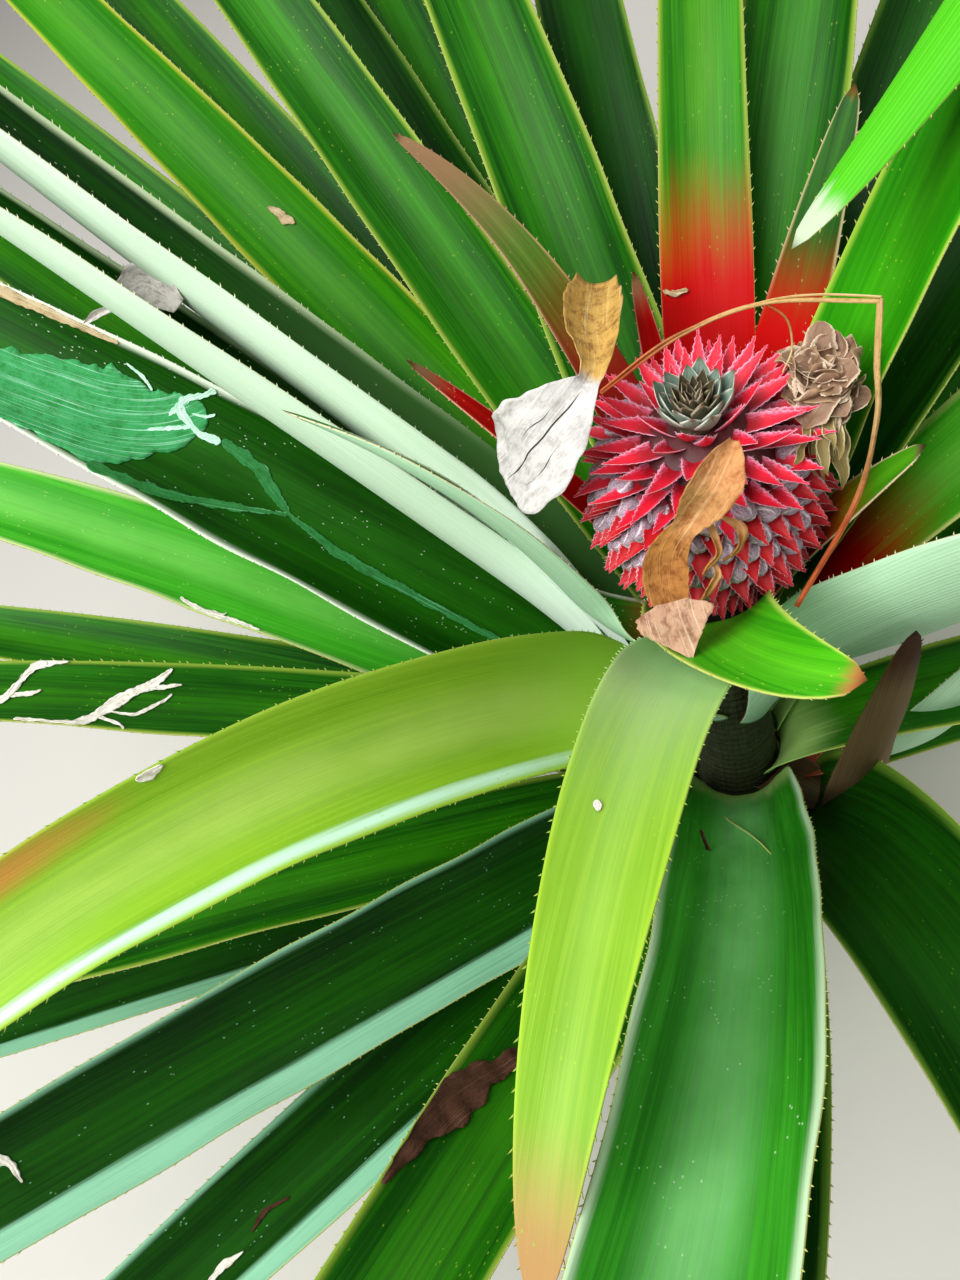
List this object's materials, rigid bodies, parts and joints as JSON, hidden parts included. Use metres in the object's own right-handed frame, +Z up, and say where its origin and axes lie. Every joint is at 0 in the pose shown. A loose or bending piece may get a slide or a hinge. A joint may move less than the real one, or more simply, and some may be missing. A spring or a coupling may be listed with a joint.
{
  "type": "pineapple plant",
  "caption": "Fruiting pineapple plant with a short stem, a wide rosette of long spiny channelled leaves, a young red fruit with a small crown, and a few dry leaves.",
  "frame": {"origin": "middle of the stem's flat cut at ground level", "axes": "+Z up along the stem; -Y towards the front, where the longest view of the fruit is; +X to the right"},
  "size_m": [1.2893, 1.1713, 0.7731],
  "materials": {
    "stem": "fibrous, matt",
    "leaf": "leathery, half gloss",
    "heart_leaf": "leathery, half gloss",
    "fruit": "waxy with dusty hairs",
    "crown": "mealy, matt",
    "dry_leaf": "dry, matt"
  },
  "bodies": {
    "root": {"stem": "stem", "peduncle": "stem", "fruit": "fruit", "crown": "crown", "leaf_back_middle": "leaf", "leaf_back_right": "leaf", "leaf_back_broad": "leaf", "leaf_back_low": "leaf", "leaf_back_left": "leaf", "leaf_left_back_low": "leaf", "leaf_left_back": "leaf", "leaf_left_long": "leaf", "leaf_left_channel_upper": "leaf", "leaf_left_channel_lower": "leaf", "leaf_left_wide": "leaf", "leaf_left_under": "leaf", "leaf_left_narrow": "leaf", "leaf_front_left_arching": "leaf", "leaf_front_left_arching_tip": "leaf", "leaf_front_left_low": "leaf", "leaf_front_left_long": "leaf", "leaf_front_left_dark": "leaf", "leaf_front_drooping": "leaf", "leaf_front_broad": "leaf", "leaf_front_edge": "leaf", "leaf_front_right_drooping": "leaf", "leaf_front_right_drooping_tip": "leaf", "leaf_front_right": "leaf", "leaf_right_low": "leaf", "leaf_right": "leaf", "leaf_right_back": "leaf", "heart_leaf_left": "heart_leaf", "heart_leaf_back_left": "heart_leaf", "heart_leaf_red_left": "heart_leaf", "heart_leaf_red_right": "heart_leaf", "heart_leaf_back_right": "heart_leaf", "heart_leaf_curled": "heart_leaf", "heart_leaf_red_spike": "heart_leaf", "skirt_leaf_1": "leaf", "skirt_leaf_2": "leaf", "skirt_leaf_3": "leaf", "skirt_leaf_4": "leaf", "skirt_leaf_5": "leaf", "skirt_leaf_6": "leaf", "skirt_leaf_7": "leaf", "skirt_leaf_8": "leaf", "skirt_leaf_9": "leaf", "skirt_leaf_10": "leaf", "skirt_leaf_11": "leaf", "skirt_leaf_12": "leaf", "skirt_leaf_13": "leaf", "skirt_leaf_14": "leaf", "skirt_leaf_15": "leaf", "leaf_folded": "leaf", "leaf_folded_tip": "leaf", "dead_leaf_right": "dry_leaf", "withered_leaf": "dry_leaf", "dry_leaf_left": "dry_leaf", "dry_leaf_front": "dry_leaf", "dry_straw": "dry_leaf"}
  },
  "joints": []
}
